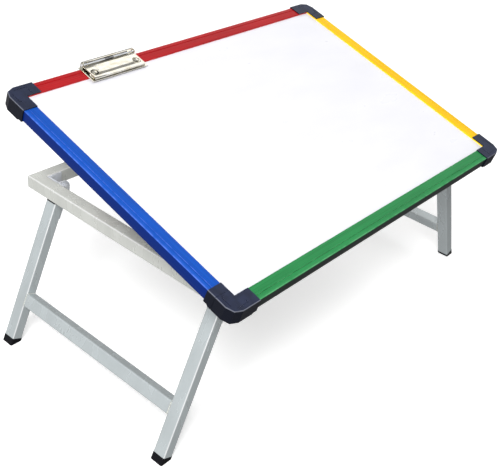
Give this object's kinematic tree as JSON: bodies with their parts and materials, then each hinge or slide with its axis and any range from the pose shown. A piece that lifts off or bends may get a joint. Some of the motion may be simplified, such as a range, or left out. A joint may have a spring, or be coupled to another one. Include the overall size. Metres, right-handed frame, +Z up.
{
  "type": "portable drawing board",
  "caption": "Framed white drawing board with coloured rails, black corner caps and a paper clip, tilted on a low steel frame with splayed folding H-shaped legs and a sliding prop.",
  "frame": {"origin": "middle of the outline on the floor", "axes": "+X along the long rails to the right of a user, +Y away from the user, +Z up"},
  "size_m": [0.7054, 0.4152, 0.3696],
  "materials": {
    "silver_tube": "silver hammered paint on steel tube",
    "zinc_steel": "bright zinc plate",
    "spring_steel": "oiled spring wire",
    "clip_chrome": "nickel plated sheet",
    "black_plastic": "moulded",
    "corner_plastic": "fine moulded texture",
    "buffer_rubber": "soft rubber",
    "white_laminate": "smooth white board",
    "fibreboard": "pressed fibreboard",
    "backing_grey": "paper-faced backing",
    "green_rail": "extruded",
    "red_rail": "extruded",
    "blue_rail": "extruded",
    "yellow_rail": "extruded"
  },
  "bodies": {
    "base": {"frame_front_tube": "silver_tube", "frame_back_tube": "silver_tube", "frame_left_tube": "silver_tube", "frame_right_tube": "silver_tube", "guide_bar_left": "silver_tube", "guide_bar_right": "silver_tube", "rest_buffers": "buffer_rubber", "hinge_leaves_frame": "zinc_steel", "hinge_screws_frame": "zinc_steel", "hinge_pins": "zinc_steel", "left_pivot_brackets": "zinc_steel", "left_pivot_bolts": "zinc_steel", "left_pivot_nuts": "zinc_steel", "right_pivot_brackets": "zinc_steel", "right_pivot_bolts": "zinc_steel", "right_pivot_nuts": "zinc_steel"},
    "board": {"writing_sheet": "white_laminate", "panel_core": "fibreboard", "backing_sheet": "backing_grey", "rail_front_green": "green_rail", "rail_back_red": "red_rail", "rail_left_blue": "blue_rail", "rail_right_yellow": "yellow_rail", "corner_front_left": "corner_plastic", "corner_front_right": "corner_plastic", "corner_back_left": "corner_plastic", "corner_back_right": "corner_plastic", "corner_screws": "zinc_steel", "hinge_leaves_board": "zinc_steel", "hinge_screws_board": "zinc_steel", "prop_brackets": "zinc_steel", "prop_bracket_screws": "zinc_steel", "prop_pivot_pins": "zinc_steel", "clip_base": "clip_chrome", "clip_rivets": "clip_chrome", "clip_pin": "zinc_steel", "clip_spring": "spring_steel"},
    "prop": {"prop_arm_left": "zinc_steel", "prop_arm_right": "zinc_steel", "prop_foot_rod": "zinc_steel", "prop_knobs": "black_plastic"},
    "clip_lever": {"clip_lever": "clip_chrome"},
    "legs_left": {"left_front_leg": "silver_tube", "left_back_leg": "silver_tube", "left_leg_crossbar": "silver_tube", "left_front_foot": "black_plastic", "left_back_foot": "black_plastic", "left_leg_plugs": "black_plastic", "left_leg_lugs": "zinc_steel"},
    "legs_right": {"right_front_leg": "silver_tube", "right_back_leg": "silver_tube", "right_leg_crossbar": "silver_tube", "right_front_foot": "black_plastic", "right_back_foot": "black_plastic", "right_leg_plugs": "black_plastic", "right_leg_lugs": "zinc_steel"}
  },
  "joints": [
    {"name": "board_tilt", "type": "hinge", "parent": "base", "child": "board", "pos_m": [0, -0.18842, 0.2243], "axis": [1, 0, 0], "range_deg": [-16.33, 0]},
    {"name": "prop_swing", "type": "hinge", "parent": "board", "child": "prop", "pos_m": [0, 0.02886, 0.28296], "axis": [1, 0, 0], "range_deg": [0, 51.4]},
    {"name": "clip_open", "type": "hinge", "parent": "board", "child": "clip_lever", "pos_m": [-0.1375, 0.1957, 0.36508], "axis": [-1, 0, 0], "range_deg": [0, 22], "stiffness_Nm_per_rad": 0.8, "springref_deg": -17.19},
    {"name": "left_legs_fold", "type": "hinge", "parent": "base", "child": "legs_left", "pos_m": [-0.2425, 0, 0.213], "axis": [0, -1, 0], "range_deg": [0, 113.2]},
    {"name": "right_legs_fold", "type": "hinge", "parent": "base", "child": "legs_right", "pos_m": [0.2425, 0, 0.213], "axis": [0, 1, 0], "range_deg": [0, 113.2]}
  ],
  "couplings": [
    {"joint": "prop_swing", "follows": "board_tilt", "ratio": -3.1433}
  ]
}
